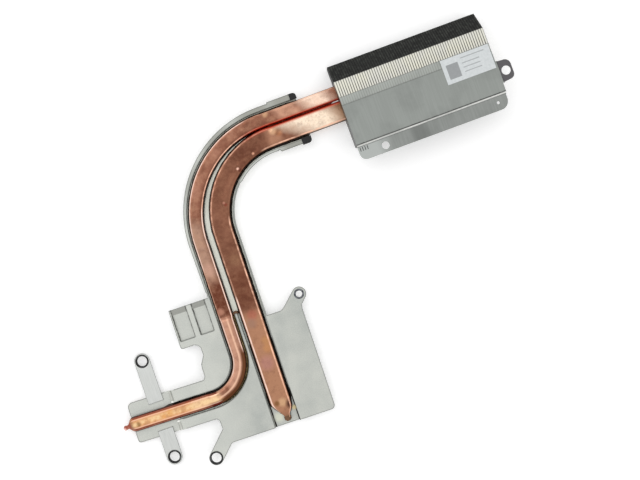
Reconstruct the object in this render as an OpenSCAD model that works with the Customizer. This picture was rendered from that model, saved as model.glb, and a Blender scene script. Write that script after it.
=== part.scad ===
// Notebook computer heatsink: two flattened heat pipes lie in a pressed carrier plate, carry heat
// from the processor and from a second chip, and end in a stack of folded fins.
// The origin is the centre of the processor contact face, with +Z pointing away from the board.

/* [Heat pipes] */
// Diameter of the wide pipe before it is flattened
wide_d = 8; // [7:0.5:9]
// Diameter of the narrow pipe before it is flattened
narrow_d = 6; // [5:0.5:6.5]
// Thickness of both pipes where they are flattened
pipe_t = 3.2; // [2.8:0.1:3.6]
// Thickness of the rounder stretch of the narrow pipe, through its tight bend
round_t = 4; // [3.6:0.1:4.4]
// Bend radius of the wide pipe, at its middle line
wide_bend = 38.3; // [37:0.1:40]
// Upper bend radius of the narrow pipe, at its middle line
narrow_bend = 48.5; // [47:0.1:50]
// Tight bend radius of the narrow pipe, at its middle line
tight_bend = 18.3; // [16:0.1:20]

/* [Carrier plate] */
// Thickness of the pressed sheet
sheet_t = 0.8; // [0.6:0.05:1]
// Depth of the pipe channels, from the top of the plate to the top of the channel floor
channel_depth = 2.6; // [2.2:0.1:3]
// Inner width of the channel of the wide pipe
wide_channel_w = 12.9; // [12:0.1:13]
// Inner width of the channel of the narrow pipe
narrow_channel_w = 9.2; // [8.8:0.1:9.4]
// Hole in the upper screw ear
ear_hole_d = 3.2; // [2.8:0.1:3.6]
// Flanged hole in the lower screw ear and in both spring arms
arm_hole_d = 5.2; // [4.6:0.1:5.4]

/* [Contact blocks] */
// Side of the square processor block
cpu_block = 34; // [28:1:36]
// Length of the second chip's block
chip_block_l = 18; // [12:1:20]
// Width of the second chip's block
chip_block_w = 16; // [12:1:18]
// Thickness of both blocks below the carrier plate
block_t = 1.2; // [1:0.1:1.6]

/* [Fin stack] */
// Number of fins
fin_count = 63; // [40:1:63]
// Distance from one fin to the next
fin_pitch = 1.235; // [1.1:0.005:1.235]
// Thickness of a fin
fin_t = 0.2; // [0.15:0.05:0.3]
// Height of the stack
stack_h = 16; // [14:0.5:18]
// Depth of the stack, from the air inlet to the air outlet
stack_depth = 42.1; // [40:0.1:44]
// Turn of the stack against the processor plate, in degrees
stack_turn = 1.6; // [0:0.1:3]

/* [Spring arms] */
// Width of a spring arm
arm_w = 7.9; // [7:0.1:9]
// Thickness of a spring arm
arm_t = 0.6; // [0.4:0.1:0.8]

/* [Hidden] */
$fn = 64;
eps = 0.01;
big = 400;

// Levels, from the contact plane up
floor_top = block_t + sheet_t;
plate_top = floor_top + channel_depth;
plate_z = plate_top - sheet_t;
pipe_z = floor_top;

// Width of a round pipe of diameter d once it is flattened to thickness t, with its girth kept
function flat_w(d, t) = round(50 * (t + PI * (d - t) / 2)) / 50;
wide_w = flat_w(wide_d, pipe_t);
narrow_w = flat_w(narrow_d, pipe_t);
round_w = flat_w(narrow_d, round_t);

// Points along an arc, for outlines
function arc(cx, cy, r, a0, a1, n = 8) =
    [for (i = [0:n]) [cx + r * cos(a0 + (a1 - a0) * i / n), cy + r * sin(a0 + (a1 - a0) * i / n)]];

// Middle lines of the pipes over the processor, and their places across the fin stack
wide_x = 6.45;
narrow_x = -5.95;
wide_stack_y = 109.7;
narrow_stack_y = 119.1;

// Bend centres. Each pipe leaves its bend on a line at its place across the stack
function bend_y(cx, r, stack_y) = (stack_y - r + cx * sin(stack_turn)) / cos(stack_turn);
wide_c = [wide_x + wide_bend, bend_y(wide_x + wide_bend, wide_bend, wide_stack_y)];
narrow_c = [narrow_x + narrow_bend, bend_y(narrow_x + narrow_bend, narrow_bend, narrow_stack_y)];
upper_turn = 90 - stack_turn;

// The narrow pipe's leg towards the second chip
leg_turn = 0.94;
tight_start_y = 13.9;
tight_c = [narrow_x - tight_bend, tight_start_y];
leg_l = 42.6;
step_y = 32;

// Loss of width at the kink where a bend ends, and how far the next stretch runs back into the bend
kink_slim = 0.3;
kink_lap = 0.4;

// Ends of the pipes
wide_end_y = -16.3;
pipe_end_x = 160;

// Channels and rims of the carrier plate, as distances from the middle lines of the pipes
narrow_off = narrow_channel_w / 2;
wide_off = wide_channel_w / 2;
rim_in = 7.8;
rim_out = 6.1;
rim_out_far = 6.9;
tray_end_x = 65.6;
land_y = 32.8;
plate_bottom_y = -27.9;

// Processor plate, ears and pad tab
plate_r = 31.8;
ear_up = [32.5, 32.1];
ear_low = [-32.8, -32.6];
ear_r = 3.6;
dish_depth = 0.35;
tab = [-32.3, 24.4, -12, 44.7];
pocket_y = 28.2;
pocket_x = [[-31.2, -23.5], [-20.5, -13.5]];
pocket_depth = 1.3;
pocket_step = 0.5;

// Second chip's plate, in the leg's own frame
chip_x = [-43, -21.3];
leg_y = [-9.9, 10.7];
joggle = 2.1;
leg_step = 0.02;

// Spring arms
arm_x = -52.98;
arm_tip_y = 25.3;
arm_mid_y = -0.3;
arm_root_up = 3.2;
arm_root_low = -11;
arm_turn = 0.35;

// Fin stack
stack_x = 85.38;
stack_y = 90.1;
stack_l = fin_count * fin_pitch;
slope_y = 9.4;
slope_drop = 8.6;
fin_gap = 0.07;

// Cover of the fin stack
cover_t = 0.3;
lip_t = 0.12;
lip_y = 114.9;
lip_w = 4.4;
cover_front_y = 89.6;
flange_y = 81.95;
flange_drop = 1.5;
flange_hole = [98.9, 85.3];
pin_hole = [157.9, 85.8];
side_ear = [167, 99.5];
side_ear_end = 170.3;
collar_h = 0.9;
collar_wall = 0.4;

// Places things in the frame of the fin stack
module at_stack() {
    rotate([0, 0, stack_turn]) children();
}

// Places things in the frame of the leg: its origin is where the tight bend ends, and it runs to -X
module at_leg() {
    translate(tight_c)
        rotate([0, 0, -90 - leg_turn])
            translate([tight_bend, 0, 0])
                rotate([0, 0, 90])
                    children();
}

// Section of a flattened pipe, standing on y = 0
module pipe_section(w, t) {
    translate([-(w - t) / 2, 0]) square([w - t, t]);
    translate([-(w - t) / 2, t / 2]) circle(r = t / 2);
    translate([(w - t) / 2, t / 2]) circle(r = t / 2);
}

// Straight pipe from the origin along +X
module pipe_straight(l, w, t) {
    rotate([90, 0, 90]) linear_extrude(l) pipe_section(w, t);
}

// Bent pipe around the origin, from angle a0 on
module pipe_bend(r, a0, turn, w, t) {
    rotate_extrude(start = a0, angle = turn, $fn = 180) translate([r, 0]) pipe_section(w, t);
}

// Outline of a pinched pipe end, from full width at x = 0 towards -X, drawn out to a small nose
module pinch_outline(w, l, lean) {
    h = w / 2 + 0.3;
    polygon(concat(
        [[0.6, h], [-0.72 * l, lean + 1.6]],
        arc(-l + 1.2, lean, 1.2, 110, 250, 8),
        [[-0.72 * l, lean - 1.6], [0.6, -h]]
    ));
}

// Side view of a pinched end: the thickness falls to half at the nose
module pinch_side(t, l) {
    polygon([[0.6, -0.2], [0.6, t + 0.2], [-0.75 * l, 0.72 * t], [-l - 1, 0.72 * t], [-l - 1, 0.2 * t],
        [-0.75 * l, 0.2 * t]]);
}

// Pinched end of a flattened pipe, going to -X from the origin
module pinched_end(w, t, l, lean) {
    intersection() {
        translate([-l - 1, 0, 0]) pipe_straight(l + 1.5, w, t);
        translate([0, 0, -1]) linear_extrude(t + 2) pinch_outline(w, l, lean);
        translate([0, big / 2, 0]) rotate([90, 0, 0]) linear_extrude(big) pinch_side(t, l);
    }
}

// Wide pipe: from its pinched end below the processor, up and round the bend, into the fins
module wide_heat_pipe() {
    color("sienna")
        translate([0, 0, pipe_z])
            union() {
                translate([wide_x, wide_end_y, 0]) rotate([0, 0, 90]) pinched_end(wide_w, pipe_t, 9.8, -0.9);
                translate([wide_x, wide_end_y, 0]) rotate([0, 0, 90])
                    pipe_straight(wide_c.y - wide_end_y, wide_w, pipe_t);
                translate(wide_c) pipe_bend(wide_bend, 180 - upper_turn, upper_turn, wide_w, pipe_t);
                stack_run(stack_run_x(wide_c) - kink_lap, wide_stack_y, wide_w - kink_slim);
            }
}

// Where a pipe's bend ends, along the fin stack
function stack_run_x(c) = c.x * cos(stack_turn) + c.y * sin(stack_turn);

// Straight stretch through the fin stack, with a rounded end
module stack_run(start_x, run_y, w) {
    tip_r = 0.62 * w;
    at_stack() intersection() {
        translate([start_x, run_y, 0]) pipe_straight(pipe_end_x + 1 - start_x, w, pipe_t);
        translate([0, 0, -1]) linear_extrude(pipe_t + 2) {
            translate([start_x - 1, run_y - w]) square([pipe_end_x - tip_r + 1 - start_x, 2 * w]);
            translate([pipe_end_x - tip_r, run_y]) circle(r = tip_r);
        }
    }
}

// Bead that seals the narrow pipe's nose, along -X
module pipe_bead() {
    rotate([0, -90, 0]) rotate_extrude() polygon([[0, 0], [1.2, 0], [1.5, 0.4], [1.5, 1.4], [1, 2.1], [0, 2.1]]);
}

// Narrow pipe: the same, with a rounder stretch through its tight bend and a leg to the second chip
module narrow_heat_pipe() {
    color("sienna")
        translate([0, 0, pipe_z])
            union() {
                translate([narrow_x, step_y, 0]) rotate([0, 0, 90])
                    pipe_straight(narrow_c.y - step_y, narrow_w, pipe_t);
                translate(narrow_c) pipe_bend(narrow_bend, 180 - upper_turn, upper_turn, narrow_w, pipe_t);
                stack_run(stack_run_x(narrow_c) - kink_lap, narrow_stack_y, narrow_w - kink_slim);
                translate([narrow_x, tight_start_y, 0]) rotate([0, 0, 90])
                    pipe_straight(step_y - tight_start_y, round_w, round_t);
                translate(tight_c) pipe_bend(tight_bend, -90 - leg_turn, 90 + leg_turn, round_w, round_t);
                at_leg() translate([-leg_l, 0, 0]) pipe_straight(leg_l + kink_lap, narrow_w, pipe_t);
                at_leg() translate([-leg_l, 0, 0]) pinched_end(narrow_w, pipe_t, 4.2, 0);
                at_leg() translate([-leg_l - 3.2, 0, pipe_t * 0.46]) pipe_bead();
            }
}

// Points of the leg's frame and of the stack's frame, on the frame of the whole
leg_o = tight_c + tight_bend * [cos(-90 - leg_turn), sin(-90 - leg_turn)];
function leg_pt(u, v) = leg_o + [u * cos(leg_turn) + v * sin(leg_turn), v * cos(leg_turn) - u * sin(leg_turn)];
function stack_pt(x, y) = [x * cos(stack_turn) - y * sin(stack_turn), x * sin(stack_turn) + y * cos(stack_turn)];

// Lines that follow a pipe at distance d to its left, in the direction towards the fins
function upper_line(c, r, y, d, end_x) =
    concat(arc(c.x, c.y, r + d, 180, 180 - upper_turn, 24), [stack_pt(end_x, y + d)]);
function narrow_upper(d, end_x) = upper_line(narrow_c, narrow_bend, narrow_stack_y, d, end_x);
function wide_upper(d, end_x) = upper_line(wide_c, wide_bend, wide_stack_y, d, end_x);
function narrow_lower(d, start_u) =
    concat([leg_pt(start_u, d)], arc(tight_c.x, tight_c.y, tight_bend - d, -90 - leg_turn, 0, 20));

function turned(points) = [for (i = [len(points) - 1:-1:0]) points[i]];

// Plan of the open tray that holds both pipes round the upper bend
module tray_plan(outer, inner, start_y, end_x) {
    polygon(concat(
        [[narrow_x - outer, start_y]], narrow_upper(outer, end_x),
        turned(wide_upper(-inner, end_x)), [[wide_x + inner, start_y]]
    ));
}

// Plan of the channels of both pipes in the processor plate and the leg, grow wider on every side
module channel_plan(grow, start_u) {
    off = narrow_off + grow;
    top_y = land_y + grow + 1;
    polygon(concat(
        narrow_lower(off, start_u), [[narrow_x - off, top_y], [narrow_x + off, top_y]],
        turned(narrow_lower(-off, start_u))
    ));
    left = wide_x - wide_off - grow;
    right = wide_x + wide_off + grow;
    bottom = plate_bottom_y - (grow > 0 ? 0 : 1);
    polygon([[left, bottom], [right, bottom], [right, top_y], [left, top_y]]);
}

// Outline of the processor plate with its two screw ears and the tab for the pads
module plate_plan() {
    polygon(concat(
        [[tab[0] + 0.1, tab[3]], [tab[0], 25.6]],
        arc(tab[0] + 1.2, tab[1] + 1.2, 1.2, 180, 270, 3),
        [[-25, tab[1]]],
        arc(-25.6, 21.4, 2.9, 75, 0, 4),
        [[-22.7, 18.2], [-25.1, 14.2], [-25.4, 12], [-25.4, 8]],
        [[-26.4, 6.45], [-26.4, -14.4], [-25.4, -15.4], [-25.2, -19.8], [-35.4, -30.1], [-30.2, -35.2]],
        [[-23.6, -28.6]],
        arc(-22.4, plate_bottom_y - 1, 1, 150, 90, 3),
        arc(plate_r - 2.2, plate_bottom_y + 2.2, 2.2, 270, 360, 6),
        [[plate_r, 24.4], [32.2, 26.6], [35.1, 29.6], [29.9, 34.6], [22.6, 27.7]],
        arc(20.9, 28.6, 1.6, 320, 270, 3),
        [[wide_x, 27], [wide_x, land_y + 1], [narrow_x, land_y + 1], [narrow_x, tab[3]]]
    ));
    translate(ear_up) circle(r = ear_r);
    translate(ear_low) circle(r = ear_r);
}

// Leg to the second chip, in its own frame: a strip that drops from the plate to the channel floors
module leg_sheet() {
    low = block_t + leg_step;
    high = plate_top - leg_step;
    t = sheet_t - 2 * leg_step;
    x1 = chip_x[0] - 1;
    x2 = chip_x[1];
    intersection() {
        translate([0, leg_y[1] + 1, 0]) rotate([90, 0, 0]) linear_extrude(leg_y[1] - leg_y[0] + 2)
            polygon([[x1, low], [x1, low + t], [x2, low + t], [x2 + joggle, high],
                [0.5, high], [0.5, high - t], [x2 + joggle + 0.3, high - t], [x2 + 0.3, low]]);
        translate([0, 0, -1]) linear_extrude(plate_top + 2) polygon(concat(
            [[1, leg_y[0]], [1, leg_y[1]]],
            arc(chip_x[0] + 2.4, leg_y[1] - 2.4, 2.4, 90, 180, 5),
            arc(chip_x[0] + 1.4, leg_y[0] + 1.4, 1.4, 180, 270, 4)
        ));
    }
}

// Rim along the outside of the upper bend, which grows wider towards the free end of the tray
module outer_rim() {
    steps = 24;
    polygon(concat(
        [[narrow_x - 5, 46], [narrow_x - 5.65, 47.5]],
        [for (i = [0:steps]) narrow_c + (narrow_bend + rim_out + (rim_out_far - rim_out) * i / steps)
            * [cos(180 - upper_turn * i / steps), sin(180 - upper_turn * i / steps)]],
        [stack_pt(50.5, narrow_stack_y + rim_out_far), stack_pt(50.5, narrow_stack_y + 5)],
        turned(arc(narrow_c.x, narrow_c.y, narrow_bend + 5, 180, 180 - upper_turn, steps))
    ));
}

// Rim along the last part of the inside of the upper bend
module inner_rim() {
    polygon(concat(
        arc(wide_c.x, wide_c.y, wide_bend - rim_in, 134, 180 - upper_turn, 12),
        [stack_pt(49, wide_stack_y - rim_in), stack_pt(49, wide_stack_y - 6.8)],
        turned(arc(wide_c.x, wide_c.y, wide_bend - 6.8, 138, 180 - upper_turn, 12))
    ));
}

// Widened rims at the free end of the tray, with cut outer corners
module tray_wings() {
    y1 = narrow_stack_y + 4;
    y2 = wide_stack_y - 6.5;
    polygon([stack_pt(49, y1), stack_pt(51.2, y1 + 3.6), stack_pt(65, y1 + 3.6), stack_pt(65.6, y1)]);
    polygon([stack_pt(48.6, y2), stack_pt(50, y2 - 2.2), stack_pt(65, y2 - 2.2), stack_pt(65.6, y2)]);
}

// Side view of a pad pocket: a shallow step at the mouth, a slope, then the deeper floor
module pocket_side(drop) {
    y0 = pocket_y;
    y1 = tab[3];
    polygon([[y0, -pocket_depth - drop], [y0 - (drop > 0 ? sheet_t : 0), 0], [y1, 0], [y1, -pocket_step - drop],
        [y1 - 2.4, -pocket_step - drop], [y1 - 4.2, -pocket_depth - drop]]);
}

// One pad pocket, drop thicker all round than its hollow
module pocket(x0, x1, drop) {
    translate([x0 - drop, 0, plate_top]) rotate([90, 0, 90]) linear_extrude(x1 - x0 + 2 * drop) pocket_side(drop);
}

// Window in the channel floors, through which the processor block touches the pipes
module window_plan() {
    half = cpu_block / 2 - 1.4;
    intersection() {
        channel_plan(-0.5, chip_x[1]);
        translate([-half, -half]) square(2 * half);
    }
}

// Pressed carrier plate: processor plate, pipe channels, tray, pad tab, leg and screw ears in one piece
module carrier_plate() {
    color("lightgray")
        difference() {
            union() {
                translate([0, 0, plate_z]) linear_extrude(sheet_t) {
                    plate_plan();
                    tray_plan(narrow_off + sheet_t, wide_off + sheet_t, land_y - 2, tray_end_x);
                    outer_rim();
                    inner_rim();
                    tray_wings();
                }
                translate([0, 0, block_t]) linear_extrude(plate_top - block_t) {
                    channel_plan(sheet_t, chip_x[1] + 0.4);
                    tray_plan(narrow_off + sheet_t, wide_off + sheet_t, land_y - sheet_t, tray_end_x);
                }
                at_leg() leg_sheet();
                translate([ear_low.x, ear_low.y, plate_z - collar_h])
                    cylinder(d = arm_hole_d + 2 * collar_wall, h = collar_h + eps);
                for (p = pocket_x) pocket(p[0], p[1], sheet_t);
            }
            translate([0, 0, floor_top]) linear_extrude(big) {
                channel_plan(0, chip_x[1] - 1);
                tray_plan(narrow_off, wide_off, land_y, tray_end_x + 1);
            }
            for (p = pocket_x) pocket(p[0], p[1], 0);
            translate([0, 0, block_t - 1]) linear_extrude(sheet_t + 1 + eps) window_plan();
            translate([ear_up.x, ear_up.y, 0]) cylinder(d = ear_hole_d, h = big);
            translate([ear_up.x, ear_up.y, plate_top - dish_depth]) cylinder(r1 = 2.1, r2 = 2.9, h = dish_depth);
            translate([ear_low.x, ear_low.y, 0]) cylinder(d = arm_hole_d, h = big);
        }
}

// Processor block: a copper plate with lands that fill the windows and touch both pipes
module cpu_contact_block() {
    color("peru")
        union() {
            translate([-cpu_block / 2, -cpu_block / 2, 0]) cube([cpu_block, cpu_block, block_t]);
            translate([0, 0, block_t - eps]) linear_extrude(sheet_t + eps)
                intersection() {
                    channel_plan(-0.6, chip_x[1]);
                    translate([-cpu_block / 2 + 1.5, -cpu_block / 2 + 1.5]) square(cpu_block - 3);
                }
        }
}

// Second chip's block, soldered under the lower end of the leg
module chip_contact_block() {
    color("peru")
        at_leg() translate([-32.4 - chip_block_l / 2, 0.4 - chip_block_w / 2, 0])
            cube([chip_block_l, chip_block_w, block_t + leg_step]);
}

// Spring arm on the second chip's plate, from its root to the flanged screw hole, along +Y
module spring_arm(root_y, tip_y) {
    difference() {
        union() {
            translate([-arm_w / 2, root_y]) cube([arm_w, tip_y - root_y, arm_t]);
            translate([0, tip_y, 0]) cylinder(d = arm_w, h = arm_t);
            translate([0, tip_y, -collar_h]) cylinder(d = arm_hole_d + 2 * collar_wall, h = collar_h + eps);
        }
        translate([0, tip_y, -5]) cylinder(d = arm_hole_d, h = 10);
    }
}

// Upper spring arm
module spring_arm_upper() {
    color("silver")
        translate([arm_x, arm_mid_y, floor_top - leg_step]) rotate([0, 0, arm_turn])
            spring_arm(arm_root_up - arm_mid_y, arm_tip_y);
}

// Lower spring arm
module spring_arm_lower() {
    color("silver")
        translate([arm_x, arm_mid_y, floor_top - leg_step]) rotate([0, 0, 180 + arm_turn])
            spring_arm(arm_mid_y - arm_root_low, arm_tip_y);
}

// Side outline of the fins, with the outlet corner cut off on a slant: inset moves the folded edges in
module fin_side(inset) {
    y0 = stack_y - inset;
    y1 = stack_y + stack_depth + inset;
    slant = inset * slope_drop / slope_y;
    polygon([[y0, inset], [y1, inset], [y1, stack_h - slope_drop - 1.36 * inset - slant],
        [stack_y + stack_depth - slope_y, stack_h - 1.36 * inset], [y0, stack_h - 1.36 * inset]]);
}

// Both pipe slots of a fin
module fin_slots() {
    translate([wide_stack_y, pipe_z]) pipe_section(wide_w - kink_slim + 0.06, pipe_t);
    translate([narrow_stack_y, pipe_z]) pipe_section(narrow_w - kink_slim + 0.06, pipe_t);
}

// One fin: a thin web whose top, slanted and bottom edges are folded over to the next fin
module fin() {
    difference() {
        linear_extrude(fin_pitch - fin_gap) fin_side(0);
        translate([0, 0, fin_t]) linear_extrude(fin_pitch) fin_side(fin_t);
        translate([0, 0, -1]) linear_extrude(fin_t + 2) fin_slots();
    }
}

// All the fins, each a sheet of its own
module fin_stack() {
    color("gainsboro")
        at_stack()
            for (i = [0:fin_count - 1])
                translate([stack_x + i * fin_pitch, 0, 0]) rotate([90, 0, 90]) fin();
}

// Plan of the cover sheet on the fins
module cover_plan(y0, y1) {
    translate([stack_x, y0]) square([stack_l, y1 - y0]);
}

// Plan of the dropped flange along the air inlet
module flange_plan() {
    polygon(concat(
        [[stack_x, cover_front_y]],
        arc(stack_x + 3.4, flange_y + 3.4, 3.4, 180, 270, 6),
        arc(stack_x + stack_l - 4.7, flange_y + 4.4, 4.4, 270, 355, 6),
        [[stack_x + stack_l - 0.3, cover_front_y]]
    ));
}

// Plan of the screw ear at the far end of the stack
module side_ear_plan() {
    edge = stack_x + stack_l + 0.9;
    polygon(concat(
        [[edge, 94.3], [edge, 105.1]],
        arc(side_ear_end - 3, 101.9, 3, 80, 0, 5),
        arc(side_ear_end - 2.6, 97.3, 2.6, 0, -75, 5)
    ));
}

// Cover of the fin stack: a sheet with a thinned lip, a dropped flange and a dropped screw ear
module fin_cover() {
    edge = stack_x + stack_l;
    color("darkgray")
        at_stack() translate([0, 0, stack_h])
            difference() {
                union() {
                    linear_extrude(cover_t) cover_plan(cover_front_y + 0.5, lip_y - lip_w);
                    linear_extrude(lip_t) cover_plan(lip_y - lip_w - eps, lip_y);
                    translate([stack_x, 0, 0]) rotate([90, 0, 90]) linear_extrude(stack_l)
                        polygon([[stack_y + 0.5, 0], [stack_y - 0.06, 0], [cover_front_y - 0.4, -flange_drop],
                            [cover_front_y - 0.9, -flange_drop], [cover_front_y - 0.9, cover_t - flange_drop],
                            [cover_front_y - 0.6, cover_t - flange_drop], [stack_y - 0.1, cover_t],
                            [stack_y + 0.5, cover_t]]);
                    translate([0, 0, -flange_drop]) linear_extrude(cover_t) {
                        intersection() {
                            flange_plan();
                            translate([0, flange_y - 1]) square([big, cover_front_y - 0.4 - flange_y + 1]);
                        }
                        intersection() {
                            side_ear_plan();
                            translate([edge + 0.9, 0]) square(big);
                        }
                    }
                    translate([0, 105.2, 0]) rotate([90, 0, 0]) linear_extrude(11.2)
                        polygon([[edge - 0.5, 0], [edge + 0.2, 0], [edge + 0.8, -flange_drop], [edge + 1.2, -flange_drop],
                            [edge + 1.2, cover_t - flange_drop], [edge + 1, cover_t - flange_drop],
                            [edge + 0.4, cover_t], [edge - 0.5, cover_t]]);
                }
                translate([flange_hole.x, flange_hole.y, -5]) cylinder(d = 3.8, h = 10);
                translate([pin_hole.x, pin_hole.y, -5]) cylinder(d = 1.4, h = 10);
                translate([side_ear.x, side_ear.y, -5]) cylinder(d = 4.5, h = 10);
            }
}

// Blank paper label on the cover and the bare fins
module blank_label() {
    color("whitesmoke")
        at_stack() translate([137.6, 102.1, stack_h + cover_t]) cube([25, 12.5, 0.12]);
}

// Black pad on a free corner of the tray, stuck on the wing and wrapped over its end
module edge_pad(x0, x1, y0, w) {
    r = 1.7;
    translate([0, y0, plate_top]) linear_extrude(0.5)
        polygon(concat([[x0, 0], [x0, w]], arc(x1 - r, w - r, r, 90, 0, 5), [[x1, 0]]));
}
module edge_pad_upper() {
    color("black") at_stack() edge_pad(62.7, 66.2, narrow_stack_y + 4.3, 3.3);
}
module edge_pad_lower() {
    color("black") at_stack() mirror([0, 1, 0]) edge_pad(61.2, 66.2, 6 - wide_stack_y, 3.4);
}

// Soft pads under the two pockets of the tab
module thermal_pad(x0, x1) {
    pad_t = 1.2;
    translate([x0, pocket_y + 0.6, plate_top - pocket_depth - sheet_t - pad_t])
        cube([x1 - x0, tab[3] - 4.8 - pocket_y, pad_t]);
}
module thermal_pad_outer() {
    color("lightblue") thermal_pad(pocket_x[0][0] + 0.4, pocket_x[0][1] - 0.4);
}
module thermal_pad_inner() {
    color("lightblue") thermal_pad(pocket_x[1][0] + 0.4, pocket_x[1][1] - 0.4);
}

carrier_plate();
wide_heat_pipe();
narrow_heat_pipe();
cpu_contact_block();
chip_contact_block();
spring_arm_upper();
spring_arm_lower();
fin_stack();
fin_cover();
blank_label();
edge_pad_upper();
edge_pad_lower();
thermal_pad_outer();
thermal_pad_inner();
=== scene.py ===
import math

import bmesh
import bpy
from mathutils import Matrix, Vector, noise

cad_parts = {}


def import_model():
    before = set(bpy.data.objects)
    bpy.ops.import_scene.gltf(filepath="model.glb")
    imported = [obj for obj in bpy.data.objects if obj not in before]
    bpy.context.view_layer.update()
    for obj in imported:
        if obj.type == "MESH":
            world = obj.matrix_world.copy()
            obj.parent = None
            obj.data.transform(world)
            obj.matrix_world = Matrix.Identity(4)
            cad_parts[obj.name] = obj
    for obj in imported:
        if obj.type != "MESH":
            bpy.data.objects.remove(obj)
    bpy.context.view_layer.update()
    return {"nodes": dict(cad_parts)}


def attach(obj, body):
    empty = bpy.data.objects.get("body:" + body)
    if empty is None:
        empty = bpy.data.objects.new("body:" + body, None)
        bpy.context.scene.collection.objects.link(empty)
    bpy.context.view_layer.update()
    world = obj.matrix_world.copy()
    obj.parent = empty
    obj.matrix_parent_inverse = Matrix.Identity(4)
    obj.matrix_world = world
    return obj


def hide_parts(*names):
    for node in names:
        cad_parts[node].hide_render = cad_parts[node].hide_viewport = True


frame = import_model()
NODES = frame["nodes"]

# A millimetre in metres, and a metre in millimetres. Sizes below are in millimetres unless they say otherwise
MM = 0.001
METRE = 1000

# The fin stack is turned a little against the processor plate
STACK_TURN = math.radians(1.6)

# Directions of the frame, and those along and across the fin stack
RIGHT, UP, HIGH = (1, 0, 0), (0, 1, 0), (0, 0, 1)
STACK_RIGHT = (math.cos(STACK_TURN), math.sin(STACK_TURN), 0)
STACK_ACROSS = (-math.sin(STACK_TURN), math.cos(STACK_TURN), 0)

# Camera straight above the object, as in the photo, with its place in metres
CAMERA_PLACE = (0.05106, 0.05424, 0.520)
CAMERA_ROLL = math.radians(-18.6)
CAMERA_NEAR = 0.01
SENSOR_WIDTH = 36.0
FOCAL_LENGTH = 57.94

# Strength of the light from all sides, and of the floor's glow where it is seen
WORLD_LIGHT = 0.8
FLOOR_GLOW = 0.34

# Sizes of the pipes and their courses, as in the part
PIPE_BOTTOM, PIPE_TOP, ROUND_TOP = 2.0, 5.2, 6.0
WIDE_HALF, NARROW_HALF, ROUND_HALF = 5.37, 3.8, 3.57
WIDE_END_HALF, NARROW_END_HALF = 5.22, 3.65
WIDE_X, NARROW_X = 6.45, -5.95
WIDE_BEND, NARROW_BEND, TIGHT_BEND = 38.3, 48.5, 18.3
WIDE_BEND_Y, NARROW_BEND_Y, TIGHT_BEND_Y = 72.68, 71.82, 13.9
UPPER_TURN, TIGHT_TURN = 88.4, 90.94
PIPE_END = 160.0
NOSE_Y, BEAD_U = -26.1, -47.9

# Left end of the fin stack, and the pitch of its fins
STACK_LEFT, FIN_PITCH = 85.38, 1.235

# Length of pipe to one unit of its texture coordinate
PATH_UNIT = 100

# Numbers of the colour sockets of a mix node
MIX_FROM, MIX_TO, MIX_RESULT = 6, 7, 2


def linear(r, g, b):
    """Turns 8-bit display values into a linear colour."""
    def one(v):
        v /= 255
        return v / 12.92 if v <= 0.04045 else ((v + 0.055) / 1.055) ** 2.4
    return (one(r), one(g), one(b), 1)


def turned(x, y, angle):
    """Turns a point about the origin."""
    c, s = math.cos(angle), math.sin(angle)
    return (x * c - y * s, x * s + y * c)


# Node helpers


class Tree:
    """Adds nodes to a tree in few words."""

    def __init__(self, tree):
        self.tree = tree

    def new(self, kind, feeds=None, **settings):
        """Adds a node with its settings, and feeds its inputs, which are given by name or number."""
        node = self.tree.nodes.new(kind)
        for key, value in settings.items():
            setattr(node, key, value)
        for key, value in (feeds or {}).items():
            self.feed(node.inputs[key], value)
        return node

    def feed(self, target, value):
        """Links a socket to an input, or sets a constant on the input itself."""
        if isinstance(value, bpy.types.NodeSocket):
            self.tree.links.new(value, target)
        else:
            target.default_value = value

    def math(self, operation, a, b=0.0):
        """Result of one operation on one value or two."""
        return self.new("ShaderNodeMath", {0: a, 1: b}, operation=operation).outputs[0]

    def times(self, first, *others):
        """Product of several values."""
        for other in others:
            first = self.math("MULTIPLY", first, other)
        return first

    def most(self, first, *others):
        """Largest of several values."""
        for other in others:
            first = self.math("MAXIMUM", first, other)
        return first

    def rest(self, value):
        """What is left of 1 above a value."""
        return self.math("SUBTRACT", 1, value)


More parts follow.
